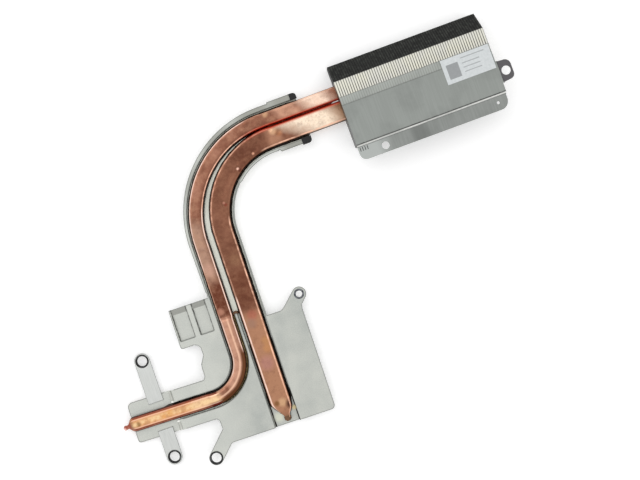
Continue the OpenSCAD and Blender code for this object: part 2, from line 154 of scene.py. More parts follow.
class Nodes(Tree):
    """Builds a material. Places are in millimetres, and amounts run from 0 to 1."""

    def __init__(self, name):
        self.material = bpy.data.materials.new(name)
        self.material.use_nodes = True
        super().__init__(self.material.node_tree)
        self.shader = self.tree.nodes["Principled BSDF"]
        self.place = self.new("ShaderNodeTexCoord").outputs["Object"]
        self.color = None

    def toward(self, direction):
        """Distance along a direction of the frame."""
        feeds = {0: self.place, 1: [METRE * d for d in direction]}
        return self.new("ShaderNodeVectorMath", feeds, operation="DOT_PRODUCT").outputs["Value"]

    def edges(self):
        """1 on rounded edges, and 0 on flat faces and walls."""
        normal = self.new("ShaderNodeNewGeometry").outputs["Normal"]
        height = self.new("ShaderNodeSeparateXYZ", {0: normal}).outputs["Z"]
        return self.zone(self.math("ABSOLUTE", height), 0.25, 0.78, 0.12)

    def outline(self, width):
        """1 along the sheet's outer edges, fading to 0 at a width."""
        feeds = {"Distance": width * MM}
        inside = self.new("ShaderNodeAmbientOcclusion", feeds, samples=8, inside=True, only_local=True)
        return self.range(inside.outputs["AO"], 0.9, 0.55)

    def pipe_place(self):
        """Distance along a pipe, and place across it from -1 to 1."""
        path = self.new("ShaderNodeUVMap", uv_map="path").outputs[0]
        split = self.new("ShaderNodeSeparateXYZ", {0: path})
        across = self.math("SUBTRACT", self.times(split.outputs["Y"], 2), 1)
        return self.times(split.outputs["X"], PATH_UNIT), across

    def range(self, value, low, high, to_low=0.0, to_high=1.0):
        """Maps low and high to two other values, and holds those past them."""
        feeds = {"Value": value, "From Min": low, "From Max": high, "To Min": to_low, "To Max": to_high}
        return self.new("ShaderNodeMapRange", feeds).outputs[0]

    def zone(self, value, start, end, fade):
        """1 between start and end, fading to 0 over a distance."""
        return self.times(self.range(value, start - fade, start), self.range(value, end + fade, end))

    def spot(self, x, y, radius):
        """1 at a place, fading to 0 at its radius."""
        feeds = {0: self.stretched(0, 1, 1, 0), 1: (x, y, 0)}
        distance = self.new("ShaderNodeVectorMath", feeds, operation="DISTANCE").outputs["Value"]
        return self.range(distance, radius, 0.4 * radius)

    def stretched(self, angle, sx, sy, sz=1.0):
        """Coordinates turned by an angle, and then scaled along each axis."""
        vector = self.place
        for key, value in (("Scale", (METRE, METRE, METRE)), ("Rotation", (0, 0, -angle)), ("Scale", (sx, sy, sz))):
            vector = self.new("ShaderNodeMapping", {"Vector": vector, key: value}, vector_type="POINT").outputs[0]
        return vector

    def noise(self, scale, detail=3.0, vector=None, roughness=0.5):
        """Noise from 0 to 1; scale is in waves to the millimetre."""
        vector = vector or self.stretched(0, 1, 1)
        feeds = {"Vector": vector, "Scale": scale, "Detail": detail, "Roughness": roughness}
        return self.new("ShaderNodeTexNoise", feeds).outputs["Fac"]

    def ramp(self, value, *stops):
        """Colour ramp from (position, colour) stops."""
        node = self.new("ShaderNodeValToRGB", {"Fac": value})
        elements = node.color_ramp.elements
        while len(elements) < len(stops):
            elements.new(0.5)
        for element, (position, colour) in zip(elements, stops):
            element.position = position
            element.color = colour
        return node.outputs["Color"]

    def bands(self, value, low, high, stops):
        """Colour bands along a distance, from (place, colour) stops between low and high."""
        places = [((at - low) / (high - low), colour) for at, colour in stops]
        return self.ramp(self.range(value, low, high), *places)

    def layer(self, amount, tint):
        """Lays a tint over the colour so far."""
        feeds = {"Factor": amount, MIX_FROM: self.color, MIX_TO: tint}
        self.color = self.new("ShaderNodeMix", feeds, data_type="RGBA").outputs[MIX_RESULT]

    def bump(self, height, distance, strength):
        """Gives the surface a fine relief of a height in millimetres."""
        feeds = {"Strength": strength, "Distance": distance * MM, "Height": height}
        self.feed(self.shader.inputs["Normal"], self.new("ShaderNodeBump", feeds).outputs[0])

    def finish(self, metal, rough):
        """Feeds the colour and two other values to the shader, and returns the material."""
        for name, value in (("Base Color", self.color), ("Metallic", metal), ("Roughness", rough)):
            self.feed(self.shader.inputs[name], value)
        return self.material


# Materials of the sheets


# Greyer places of the carrier plate, at both widened rims and outside the upper bend: x, y and radius
WING_PLACES = ((56, 127, 9), (54, 105, 9), (40, 122, 14), (20, 114, 14), (5, 98, 14))

# Thin solder pools beside the wide pipe's nose: x, y, radius and colour
POOL_PLACES = ((3.2, -23.6, 3.2, linear(216, 218, 200)), (11.9, -21.2, 1.6, linear(222, 204, 156)))

# Ends of the walls of the two pockets in the pad tab, from left to right
POCKET_RIMS = ((-31.5, -31.1), (-23.8, -23.45), (-20.6, -20.25), (-13.8, -13.45))

WHITE = linear(252, 252, 248)
PALE_FIN = linear(222, 221, 212)
MIDDLE_GREY = linear(108, 108, 102)
DARK_GREY = linear(34, 34, 31)
OUTLINE_GREY = linear(40, 40, 37)
FOLD_GREY = linear(60, 61, 60)
PRINT_GREY = linear(118, 120, 122)

# Bands across the cover, from its lowered flange over the fold, painted as a white highlight beside dark lines of
# painted shade, to the thin lip
COVER_BANDS = (
    (81.5, linear(137, 140, 137)), (88.6, linear(141, 144, 141)), (88.95, linear(100, 102, 100)),
    (89.15, WHITE), (89.65, WHITE), (89.8, FOLD_GREY), (90.1, FOLD_GREY), (90.4, linear(146, 150, 146)),
    (110.3, linear(144, 148, 144)), (110.7, linear(122, 124, 121)), (111.2, linear(164, 168, 163)),
    (114.4, linear(168, 172, 167)), (114.8, linear(138, 139, 134))
)

# Bands across the bare fins, up to the black outlet side, and the painted shade of the gaps between them
FIN_BANDS = ((80, linear(150, 150, 148)), (114, linear(212, 211, 204)), (118, PALE_FIN), (122.7, PALE_FIN),
             (122.95, linear(7, 7, 7)))
GAP_BANDS = ((110, DARK_GREY), (118.6, DARK_GREY), (119.4, MIDDLE_GREY), (122.6, MIDDLE_GREY),
             (122.95, linear(4, 4, 4)))

# Plain bars on the label: place across the stack and right end, and their common left end and thickness
LABEL_BARS = ((105.4, 156.4), (107.6, 156.4), (109.8, 156.4), (112.4, 159.6))
BAR_LEFT, BAR_WIDTH = 147.6, 0.4

# Place across the stack where the fins' black outlet side begins
PAINT_LINE = 122.8

# Widths of the painted shade outlines of the carrier plate and of the spring arms
PLATE_OUTLINE, ARM_OUTLINE = 0.7, 0.36


def sheet_metal():
    """Satin carrier plate: pale grey sheet, a little cloudy, with fine specks and painted shade along its edges."""
    n = Nodes("sheet_metal")
    right, up = n.toward(RIGHT), n.toward(UP)
    cloud, grain = n.noise(0.09, 4), n.noise(2.4, 2)
    n.color = n.ramp(cloud, (0.3, linear(175, 179, 174)), (0.7, linear(196, 198, 191)))
    n.layer(n.range(right, -8, -22, 0, 0.4), linear(214, 216, 209))
    n.layer(0.12, n.ramp(grain, (0.35, linear(120, 121, 116)), (0.65, linear(236, 236, 230))))
    for x, y, radius in WING_PLACES:
        n.layer(n.times(n.spot(x, y, radius), 0.8), linear(146, 146, 138))
    channel_shades(n, right, up)
    pocket_shades(n, right, up)
    for x, y, radius, tint in POOL_PLACES:
        n.layer(n.times(n.spot(x, y, radius), 0.85), tint)
    sheet_edges(n, right)
    n.bump(grain, 0.02, 0.35)
    return n.finish(metal=0.8, rough=n.range(cloud, 0.3, 0.7, 0.36, 0.5))


def channel_shades(n, right, up):
    """Painted light on the pale floor of the tray, which lies in shade between the pipes, and dark lines of painted
    shadow along both walls of the wide pipe's channel, at its lower end.
    """
    floor_level = n.range(n.toward(HIGH), 2.5, 2.2)
    n.layer(n.times(floor_level, n.range(up, 28, 34, 0, 0.6)), linear(232, 231, 218))
    lines = n.most(n.zone(right, 0.2, 0.85, 0.12), n.zone(right, 12.5, 13.15, 0.12))
    n.layer(n.times(lines, n.zone(up, -40, -12, 3)), linear(34, 32, 28))


def pocket_shades(n, right, up):
    """Painted shade in the greyer mouths and along the uneven dark rims of the two pockets in the pad tab."""
    mouths = n.most(n.zone(right, -30.9, -23.8, 0.2), n.zone(right, -20.2, -13.8, 0.2))
    n.layer(n.times(mouths, n.zone(up, 41.9, 44.3, 0.2), 0.7), linear(134, 134, 128))
    rims = n.most(*[n.zone(right, start, end, 0.1) for start, end in POCKET_RIMS])
    uneven = n.range(n.noise(0.7, 2), 0.4, 0.55, 0.2, 0.85)
    n.layer(n.times(rims, n.zone(up, 28.4, 44.8, 0.2), uneven), linear(60, 60, 56))


def sheet_edges(n, right):
    """Painted shade along the carrier plate's edges, except at the leg's step, which has painted light instead."""
    away = n.rest(n.zone(right, -47.5, -42.5, 0.5))
    n.layer(n.times(n.edges(), away), DARK_GREY)
    n.layer(n.times(n.outline(PLATE_OUTLINE), n.times(away, 0.7)), OUTLINE_GREY)
    # Painted light on the sloped face of the leg's step
    n.layer(n.zone(right, -45.4, -44.6, 0.4), linear(242, 242, 237))


def rib_lines(n, right):
    """1 on the gap between one fin's folded edge and the next, and 0 between."""
    turn = n.math("FRACT", n.math("DIVIDE", n.math("SUBTRACT", right, STACK_LEFT), FIN_PITCH))
    return n.most(n.range(turn, 0.71, 0.86), n.range(turn, 0.15, 0.02))


def fin_paint():
    """Fins: pale grey aluminium on top, black on the slanted outlet side, with painted shade in the gaps between the
    folds and a painted sheen on the black folds.
    """
    n = Nodes("fin_metal")
    right, across = n.toward(STACK_RIGHT), n.toward(STACK_ACROSS)
    n.color = n.bands(across, 80, 140, FIN_BANDS)
    cloud = n.range(n.noise(0.12, 3), 0.4, 0.65, 0, 0.45)
    n.layer(n.times(n.zone(across, 115, 122, 1), cloud), linear(236, 233, 210))
    ribs = rib_lines(n, right)
    n.layer(n.times(ribs, 0.95), n.bands(across, 110, 125, GAP_BANDS))
    painted = n.math("GREATER_THAN", across, PAINT_LINE)
    sheen = n.range(n.noise(0.5, 3), 0.42, 0.7, 0.3, 0.9)
    n.layer(n.times(n.rest(ribs), painted, sheen), linear(64, 66, 62))
    n.shader.inputs["Specular IOR Level"].default_value = 0.12
    n.bump(n.noise(1.1, 3), 0.03, 0.4)
    return n.finish(metal=n.range(painted, 0, 1, 0.75, 0.1), rough=n.range(painted, 0, 1, 0.4, 0.5))


def cover_metal():
    """Cover sheet: grey metal brushed across the stack, with a painted highlight and painted shade on the fold along
    its lowered flange.
    """
    n = Nodes("cover_metal")
    right, across = n.toward(STACK_RIGHT), n.toward(STACK_ACROSS)
    streak = n.noise(1.0, 4, n.stretched(STACK_TURN, 1.3, 0.05))
    ribs = rib_lines(n, right)
    n.color = n.bands(across, 80, 120, COVER_BANDS)
    n.layer(n.range(streak, 0.4, 0.7, 0, 0.35), linear(160, 164, 160))
    n.layer(n.times(ribs, n.zone(across, 110.8, 115, 0.3), 0.4), linear(112, 112, 106))
    n.layer(n.range(n.noise(0.07, 4), 0.5, 0.72, 0, 0.35), linear(112, 115, 112))
    flange_shades(n, right, across, ribs)
    fold = n.zone(across, 89.1, 89.7, 0.08)
    n.bump(streak, 0.02, 0.5)
    return n.finish(metal=n.range(fold, 0, 1, 0.85, 0), rough=n.range(streak, 0.3, 0.7, 0.32, 0.44))


def flange_shades(n, right, across, ribs):
    """Paler and darker places of the lowered flange, painted shade between the fins that show at its left end, and the
    dark screw ear.
    """
    flange = n.range(across, 88.8, 88.6)
    n.layer(n.times(flange, n.zone(right, 80, 95, 8)), linear(174, 178, 175))
    n.layer(n.times(flange, n.times(n.zone(right, 115, 119, 4), 0.5)), linear(96, 99, 96))
    fin_ends = n.times(n.zone(right, 86, 91, 0.3), n.zone(across, 86.6, 88.4, 0.2))
    n.layer(n.times(fin_ends, ribs), linear(30, 30, 30))
    n.layer(n.range(right, 163.4, 164.2), linear(96, 94, 96))


def spring_steel():
    """Spring arms, with painted shade along their edges."""
    n = Nodes("spring_steel")
    grain = n.noise(0.9, 3, n.stretched(0, 3, 0.2))
    n.color = n.ramp(grain, (0.3, linear(198, 200, 197)), (0.7, linear(209, 211, 208)))
    n.layer(n.edges(), linear(62, 62, 60))
    n.layer(n.times(n.outline(ARM_OUTLINE), 0.8), OUTLINE_GREY)
    n.bump(grain, 0.02, 0.4)
    return n.finish(metal=0.85, rough=0.36)


def collar_shade_steel():
    """Rolled collars round the screw holes, painted near black for the shade on the holes' inner walls."""
    n = Nodes("collar_shade_steel")
    grain = n.noise(0.5, 2)
    n.color = n.ramp(grain, (0.5, linear(3, 3, 3)), (0.68, linear(96, 97, 98)))
    n.bump(grain, 0.04, 0.5)
    return n.finish(metal=0.1, rough=0.6)


def dish_shade_steel():
    """Grey pressed dish round the small screw hole, painted darker for the shade in its hollow."""
    n = Nodes("dish_shade_steel")
    n.color = n.ramp(n.noise(0.7, 2), (0.4, linear(66, 68, 72)), (0.62, linear(124, 126, 130)))
    return n.finish(metal=0.8, rough=0.35)


def paper():
    """Blank label paper, with a plain grey field and bars."""
    n = Nodes("label_paper")
    right, across = n.toward(STACK_RIGHT), n.toward(STACK_ACROSS)
    fibre = n.noise(0.8, 5)
    n.color = n.ramp(fibre, (0.3, linear(208, 213, 214)), (0.7, linear(222, 226, 227)))
    field = n.times(n.zone(right, 139.6, 145.6, 0.1), n.zone(across, 104.2, 111.4, 0.1))
    n.layer(n.times(field, 0.7), PRINT_GREY)
    for low, end in LABEL_BARS:
        bar = n.times(n.zone(right, BAR_LEFT, end, 0.1), n.zone(across, low, low + BAR_WIDTH, 0.1))
        n.layer(n.times(bar, 0.5), PRINT_GREY)
    n.bump(fibre, 0.02, 0.3)
    return n.finish(metal=0.0, rough=0.55)


def rubber(name, low, high):
    """Matte rubber or silicone."""
    n = Nodes(name)
    grain = n.noise(1.6, 4)
    n.color = n.ramp(grain, (0.3, low), (0.7, high))
    n.bump(grain, 0.05, 0.5)
    return n.finish(metal=0.0, rough=0.75)


# Materials of the copper and solder


# Looks of the pipes' copper. Clouds: three shades from dark to pale. Zones: start, end and fade along the
# pipe, lean across it, colour and strength; some zones are painted highlights and painted shade. Marks: x, y,
# radius, colour and strength; some marks are painted highlights and painted shade at dents. Glints: start, end
# and place across of painted glints. Flank: stretch whose right side has no painted highlight line. Seam:
# stretch and fade of the red seam between the two pipes, and the side it is on
WIDE_LOOK = {
    "name": "wide_copper",
    "clouds": (linear(110, 69, 52), linear(128, 84, 65), linear(140, 96, 75)),
    "grain": linear(158, 113, 89),
    "pale": linear(162, 116, 90),
    "dark": linear(90, 50, 38),
    "zones": (
        (6, 54, 6, 0, linear(184, 134, 104), 0.88), (62, 77, 5, 0, linear(106, 62, 45), 0.85),
        (84, 92, 6, 2, linear(104, 64, 48), 0.4), (138, 152, 8, 2, linear(92, 52, 38), 0.6),
        # Painted highlight at the kink after the upper bend, a painted highlight across the pipe near the fins, and
        # painted shade by the fins
        (158, 162, 3, 0, linear(178, 130, 104), 0.7), (178, 190, 15, 9, linear(255, 234, 210), 1.0),
        (198, 202, 10, 0, linear(158, 108, 70), 0.95)
    ),
    "marks": (
        # The first seven marks sit on the dents and the lump, as bright cores and dark halos of painted highlight and
        # painted shade
        (23.4, 101.1, 0.9, linear(244, 196, 176), 0.9), (24.2, 100.1, 1.3, linear(86, 42, 32), 0.8),
        (12.0, 85.9, 1.2, linear(110, 44, 32), 0.7), (11.4, 87.1, 0.9, linear(200, 140, 120), 0.6),
        (33.1, 105.9, 0.9, linear(214, 158, 130), 0.8), (46, 113.3, 2.4, linear(236, 190, 150), 0.55),
        (48.5, 112, 2.6, linear(150, 96, 62), 0.6), (7.5, 58.3, 4, linear(160, 120, 90), 0.3),
        (9.4, 15.5, 3, linear(196, 140, 84), 0.45), (9.0, 11.5, 3, linear(200, 140, 84), 0.45),
        (6.3, 4.4, 5, linear(190, 134, 130), 0.45), (7.0, 29.5, 3.5, linear(176, 92, 78), 0.45),
        # The last four marks lie on the nose: a painted highlight on its middle, a dark olive blotch, painted shadow on
        # its right flank and the olive glob of its tip
        (5.3, 25.6, 3.5, linear(150, 118, 104), 0.5), (7.4, -16.6, 2.8, linear(222, 180, 138), 0.6),
        (4.6, -16.4, 1.8, linear(124, 84, 46), 0.8), (11.4, -18.6, 3.4, linear(60, 26, 18), 0.95),
        (7.6, -25.2, 2.3, linear(122, 96, 70), 0.95)
    ),
    "glints": ((2, 64, -0.8),),
    "flank": (108, 150),
    "seam": (158, 205, 14),
    "seam_side": -1,
}
NARROW_LOOK = {
    "name": "narrow_copper",
    "clouds": (linear(124, 80, 62), linear(144, 96, 76), linear(160, 112, 92)),
    "grain": linear(182, 136, 112),
    "pale": linear(206, 158, 128),
    "dark": linear(106, 62, 46),
    "zones": (
        (7, 50, 3, 2, linear(226, 164, 112), 0.95), (60, 94.5, 3, 0, linear(204, 154, 130), 0.9),
        (97, 112, 3, 0, linear(98, 50, 33), 0.9), (118, 142, 6, 0, linear(176, 142, 122), 0.75),
        (38, 50, 3, 0, linear(255, 220, 180), 0.5), (221, 228, 4, 2, linear(208, 158, 132), 0.8),
        # The first two zones below: a painted highlight across the pipe near the fins, and painted shade by the fins
        (238, 243, 8, 3, linear(252, 222, 200), 1.0), (254, 262, 9, 0, linear(150, 96, 74), 0.95),
        (-5, 3.5, 1, 0, linear(150, 52, 46), 0.7)
    ),
    "marks": (
        (-72.0, -4.7, 1.3, linear(250, 200, 190), 0.95), (-47.6, -3.4, 2.4, linear(222, 150, 68), 0.7),
        (-51, -4.4, 1.6, linear(228, 156, 84), 0.7), (-64.4, -4.3, 1.6, linear(130, 86, 36), 0.85),
        (-5.9, 57.6, 4.5, linear(200, 156, 136), 0.7), (44.9, 122.3, 1.8, linear(220, 176, 136), 0.5),
        (-7.6, 36, 2.5, linear(196, 140, 118), 0.6)
    ),
    "glints": ((66, 94, -0.78), (80, 150, 0.8), (124, 200, -0.8)),
    "flank": (47, 76),
    "seam": (206, 260, 14),
    "seam_side": 1,
}


class Tube(Nodes):
    """Tarnished copper of one pipe, with painted highlights and painted shade, laid on in layers."""

    def __init__(self, look):
        super().__init__(look["name"])
        self.look = look
        self.along, self.across = self.pipe_place()
        self.edge = self.math("ABSOLUTE", self.across)
        self.grain = self.noise(0.7, 4, roughness=0.7)
        self.mottle = self.noise(0.3, 5, roughness=0.6)
        self.streak = self.noise(0.35, 3)
        # 1 on the stretch with a flank of painted shade on the narrow pipe, and 1 where there is no painted highlight
        # line
        self.flank = self.zone(self.along, *look["flank"], 5)
        self.plain = self.times(self.flank, self.range(self.across, 0.25, 0.5))

    def tarnish_and_painted_light(self):
        """Cloudy top, with zones of colour, grain, mottle and marks; some zones and marks are painted highlights and
        painted shade, the rest tarnished colour.
        """
        dark, middle, pale = self.look["clouds"]
        cloud = self.noise(0.1, 3, roughness=0.6)
        self.color = self.ramp(cloud, (0.32, dark), (0.5, middle), (0.68, pale))
        for start, end, fade, lean, tint, strength in self.look["zones"]:
            place = self.math("SUBTRACT", self.along, self.times(self.across, lean))
            patch = self.times(self.zone(place, start, end, fade), strength)
            self.layer(self.times(patch, self.range(cloud, 0.25, 0.45, 0.7, 1)), tint)
        self.layer(self.range(self.grain, 0.45, 0.75, 0, 0.3), self.look["grain"])
        self.layer(self.range(self.mottle, 0.48, 0.68, 0, 0.25), self.look["pale"])
        self.layer(self.range(self.mottle, 0.48, 0.3, 0, 0.3), self.look["dark"])
        for x, y, radius, tint, strength in self.look["marks"]:
            self.layer(self.times(self.spot(x, y, radius), strength), tint)

    def bend_shades(self):
        """Painted shade on the right side of the narrow pipe and on the outside of its tight bend, and a painted
        highlight down the bend's middle.
        """
        side = self.times(self.range(self.across, 0.1, 0.7), self.zone(self.along, 50, 212, 6))
        self.layer(self.times(side, 0.45), linear(96, 52, 38))
        outside = self.times(self.flank, self.range(self.across, 0.25, 0.5, 0, 0.92))
        self.layer(outside, linear(88, 50, 24))
        shine = self.times(self.zone(self.along, 52, 93, 3), self.zone(self.across, 0.02, 0.16, 0.1))
        self.layer(self.times(shine, 0.6), linear(250, 206, 176))

    def leg_shades(self):
        """Painted highlight on the core, a thin painted highlight line, and painted shade on the dark red sides of the
        narrow pipe on the leg, where its painted highlight lines along the shoulders are faint.
        """
        leg = self.zone(self.along, 6, 50, 2)
        core = self.times(leg, self.range(self.edge, 0.5, 0.15))
        self.layer(self.times(core, self.range(self.mottle, 0.4, 0.6, 0.15, 0.75)), linear(255, 224, 172))
        self.layer(self.times(leg, self.zone(self.edge, 0.5, 0.56, 0.06), 0.6), linear(255, 206, 184))
        self.layer(self.times(leg, self.range(self.edge, 0.6, 0.68, 0, 0.92)), linear(104, 26, 20))
        self.plain = self.most(self.plain, self.times(leg, 0.75))

    def shoulders(self):
        """Bright painted highlight lines along both shoulders, with painted glints on some stretches."""
        highlight_strength = self.times(self.range(self.streak, 0.36, 0.6, 0.3, 1), self.range(self.across, -0.9, 0.9, 0.6, 1))
        line = self.times(self.zone(self.edge, 0.79, 0.84, 0.07), highlight_strength)
        self.layer(self.times(line, self.rest(self.plain)), linear(250, 196, 168))
        for start, end, at in self.look["glints"]:
            glint = self.times(self.zone(self.along, start, end, 4), self.zone(self.across, at - 0.03, at + 0.03, 0.06))
            self.layer(self.times(glint, self.range(self.streak, 0.3, 0.5, 0.5, 1)), linear(255, 222, 206))

    def sides(self):
        """Painted shade on both sides, and the red seam where the other pipe is close."""
        self.layer(self.range(self.edge, 0.87, 0.97), linear(50, 22, 14))
        seam = self.range(self.times(self.across, self.look["seam_side"]), 0.62, 0.86)
        self.layer(self.times(seam, self.zone(self.along, *self.look["seam"])), linear(182, 62, 38))

    def polish(self):
        """Relief and gloss."""
        self.bump(self.grain, 0.05, 0.5)
        return self.finish(metal=0.92, rough=self.range(self.streak, 0.3, 0.7, 0.24, 0.4))


def wide_copper():
    """Copper of the wide pipe."""
    tube = Tube(WIDE_LOOK)
    tube.tarnish_and_painted_light()
    tube.shoulders()
    tube.sides()
    return tube.polish()


def narrow_copper():
    """Copper of the narrow pipe, with its own painted light and shade on the leg and in the tight bend."""
    tube = Tube(NARROW_LOOK)
    tube.tarnish_and_painted_light()
    tube.bend_shades()
    tube.leg_shades()
    tube.shoulders()
    tube.sides()
    return tube.polish()


def block_copper():
    """Plain copper of the contact blocks."""
    n = Nodes("block_copper")
    n.color = n.ramp(n.noise(0.2, 5), (0.3, linear(150, 92, 70)), (0.7, linear(196, 130, 100)))
    grain = n.noise(1.0, 4, n.stretched(0, 2, 0.1))
    n.layer(n.range(grain, 0.4, 0.7, 0, 0.3), linear(214, 160, 130))
    n.bump(grain, 0.02, 0.4)
    return n.finish(metal=0.95, rough=0.3)


def solder_metal(name, dark, middle, pale):
    """Flux and solder beside the pipes."""
    n = Nodes(name)
    cloud = n.noise(0.5, 4, roughness=0.7)
    n.color = n.ramp(cloud, (0.35, dark), (0.6, middle), (0.78, pale))
    n.bump(cloud, 0.12, 0.6)
    return n.finish(metal=0.4, rough=n.range(cloud, 0.3, 0.7, 0.3, 0.55))


# Pieces


# Widths of the rounded edges of each kind of sheet piece, and of the copper blocks
PLATE_EDGE, ARM_EDGE, COVER_EDGE, BLOCK_EDGE = 0.38, 0.28, 0.05, 0.15

# Distance at which corners of a CAD mesh are one, and angles below which faces are flat and above which edges
# are sharp
WELD = 0.002
FLAT_ANGLE, SHARP_ANGLE = math.radians(0.5), math.radians(35)


def paint(node, material):
    """Gives a CAD node its material."""
    slots = NODES[node].material_slots
    if slots:
        for s in slots:
            s.material = material
    else:
        NODES[node].data.materials.append(material)


def dress():
    """Materials of the CAD nodes that stay as they are."""
    paint("fin_stack", fin_paint())
    paint("blank_label", paper())
    edge = rubber("edge_rubber", linear(10, 10, 10), linear(24, 24, 24))
    paint("edge_pad_upper", edge)
    paint("edge_pad_lower", edge)
    pad = rubber("gap_pad", linear(134, 154, 170), linear(158, 176, 190))
    paint("thermal_pad_outer", pad)
    paint("thermal_pad_inner", pad)


def add_piece(name, work, material):
    """Makes a worked mesh into a smooth new piece that rides on the root body."""
    mesh = bpy.data.meshes.new(name)
    work.to_mesh(mesh)
    work.free()
    mesh.shade_smooth()
    obj = bpy.data.objects.new(name, mesh)
    bpy.context.scene.collection.objects.link(obj)
    mesh.materials.clear()
    mesh.materials.append(material)
    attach(obj, "root")
    return obj


def stitch(work, rows, closed=False):
    """Joins rows of corners by a skin. The last row meets the first if it is closed; if not, both get an end face."""
    for a, b in zip(rows, rows[1:] + (rows[:1] if closed else [])):
        for i in range(len(a)):
            j = (i + 1) % len(a)
            work.faces.new((a[i], a[j], b[j], b[i]))
    if not closed:
        work.faces.new(rows[0][::-1])
        work.faces.new(rows[-1])
    bmesh.ops.recalc_face_normals(work, faces=work.faces)


def softened(node, material, width):
    """A copy of a sheet metal node whose sharp edges are rounded by a width."""
    work = bmesh.new()
    work.from_mesh(NODES[node].data)
    bmesh.ops.remove_doubles(work, verts=work.verts, dist=WELD * MM)
    bmesh.ops.dissolve_limit(work, angle_limit=FLAT_ANGLE, verts=work.verts, edges=work.edges)
    obj = add_piece(node + "_soft", work, material)
    bevel = obj.modifiers.new("edges", "BEVEL")
    bevel.width = width * MM
    bevel.segments = 2
    bevel.limit_method = "ANGLE"
    bevel.angle_limit = SHARP_ANGLE
    flat = obj.modifiers.new("flat_faces", "WEIGHTED_NORMAL")
    flat.mode = "FACE_AREA"
    flat.weight = 100
    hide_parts(node)


def sheets():
    """Sheet metal pieces and copper blocks with rounded edges."""
    softened("carrier_plate", sheet_metal(), PLATE_EDGE)
    steel = spring_steel()
    softened("spring_arm_upper", steel, ARM_EDGE)
    softened("spring_arm_lower", steel, ARM_EDGE)
    softened("fin_cover", cover_metal(), COVER_EDGE)
    block = block_copper()
    softened("cpu_contact_block", block, BLOCK_EDGE)
    softened("chip_contact_block", block, BLOCK_EDGE)


# Pipes


# Points of each rounded side and of the flat top of a pipe's section, and how far the top dips
SIDE_POINTS, FLAT_POINTS, TOP_DIP = 10, 10, 0.05

# Sections of the even stretches: half-width left and right, bottom and top
WIDE_FLAT = (WIDE_HALF, WIDE_HALF, PIPE_BOTTOM, PIPE_TOP)
WIDE_END = (WIDE_END_HALF, WIDE_END_HALF, PIPE_BOTTOM, PIPE_TOP)
NARROW_FLAT = (NARROW_HALF, NARROW_HALF, PIPE_BOTTOM, PIPE_TOP)
NARROW_ROUND = (ROUND_HALF, ROUND_HALF, PIPE_BOTTOM, ROUND_TOP)
NARROW_END = (NARROW_END_HALF, NARROW_END_HALF, PIPE_BOTTOM, PIPE_TOP)

# Rows of distance from the drawn-out end, half-width left and right, bottom and top
WIDE_PROFILE = (
    (0.0, -0.9, 1.6, 2.7, 3.5), (0.5, -0.1, 2.1, 2.3, 4.0), (1.3, 0.45, 2.6, 2.15, 4.3), (2.3, 0.55, 2.6, 2.1, 4.1),
    (3.3, 1.2, 3.1, 2.05, 4.0), (4.6, 2.2, 4.2, 2.0, 4.3), (6.1, 3.3, 5.05, 2.0, 4.8), (7.6, 4.4, 5.33, 2.0, 5.1),
    (9.4, 5.2, 5.37, 2.0, 5.2), (10.6, *WIDE_FLAT), (157.5, *WIDE_FLAT), (159.5, *WIDE_END)
)
NARROW_PROFILE = (
    (0.0, -0.4, 0.7, 3.3, 3.7), (0.3, 0.45, 1.45, 2.5, 4.5), (1.0, 0.85, 1.85, 2.15, 4.85), (1.8, 0.6, 1.5, 2.5, 4.4),
    (2.4, 0.6, 1.4, 2.5, 4.3), (3.1, 1.0, 1.6, 2.3, 4.4), (3.9, 2.5, 2.7, 2.1, 4.8), (4.7, 3.4, 3.4, 2.0, 5.1),
    (5.9, 3.75, 3.75, 2.0, 5.2), (7.1, *NARROW_FLAT), (44.6, *NARROW_FLAT), (47.8, *NARROW_ROUND),
    (94.6, *NARROW_ROUND), (95.4, *NARROW_FLAT), (209.4, *NARROW_FLAT), (211.4, *NARROW_END)
)

# Dents and lumps: x, y, radius and height
WIDE_DENTS = ((23.4, 101.1, 1.1, -0.35), (24.6, 102.6, 0.8, 0.2), (12.0, 86.4, 0.9, -0.25), (33.1, 105.9, 0.9, -0.3),
              (35.0, 107.4, 0.8, -0.2), (46.0, 113.3, 1.3, 0.35), (48.2, 112.2, 1.6, -0.3))
NARROW_DENTS = ((-6.8, 48.2, 0.7, -0.2), (-4.9, 46.9, 0.7, -0.18), (34.2, 121.0, 1.2, 0.2))


class Path:
    """A pipe's middle line as stations: x, y, heading in radians, and distance along it."""

    # Distance between two stations
    STEP = 0.7

    def __init__(self, x, y, heading):
        self.stations = [(x, y, math.radians(heading), 0.0)]

    def run(self, length):
        """Goes straight on."""
        x, y, heading, along = self.stations[-1]
        count = max(1, round(length / self.STEP))
        for i in range(1, count + 1):
            d = length * i / count
            self.stations.append((x + d * math.cos(heading), y + d * math.sin(heading), heading, along + d))
        return self

    def bend(self, radius, degrees):
        """Turns left by a number of degrees, or right if it is negative."""
        x, y, heading, along = self.stations[-1]
        turn = math.radians(degrees)
        side = math.copysign(1, turn)
        cx, cy = x - side * radius * math.sin(heading), y + side * radius * math.cos(heading)
        count = max(2, round(radius * abs(turn) / self.STEP))
        for i in range(1, count + 1):
            h = heading + turn * i / count
            self.stations.append((cx + side * radius * math.sin(h), cy - side * radius * math.cos(h), h,
                                  along + radius * abs(turn) * i / count))
        return self

    def to_end(self):
        """Goes straight on to the place along the fin stack where the pipes end."""
        x, y = self.stations[-1][:2]
        return self.run(PIPE_END - turned(x, y, -STACK_TURN)[0])


def wide_path():
    """From the nose up the plate, and right into the stack."""
    return Path(WIDE_X, NOSE_Y, 90).run(WIDE_BEND_Y - NOSE_Y).bend(WIDE_BEND, -UPPER_TURN).to_end()


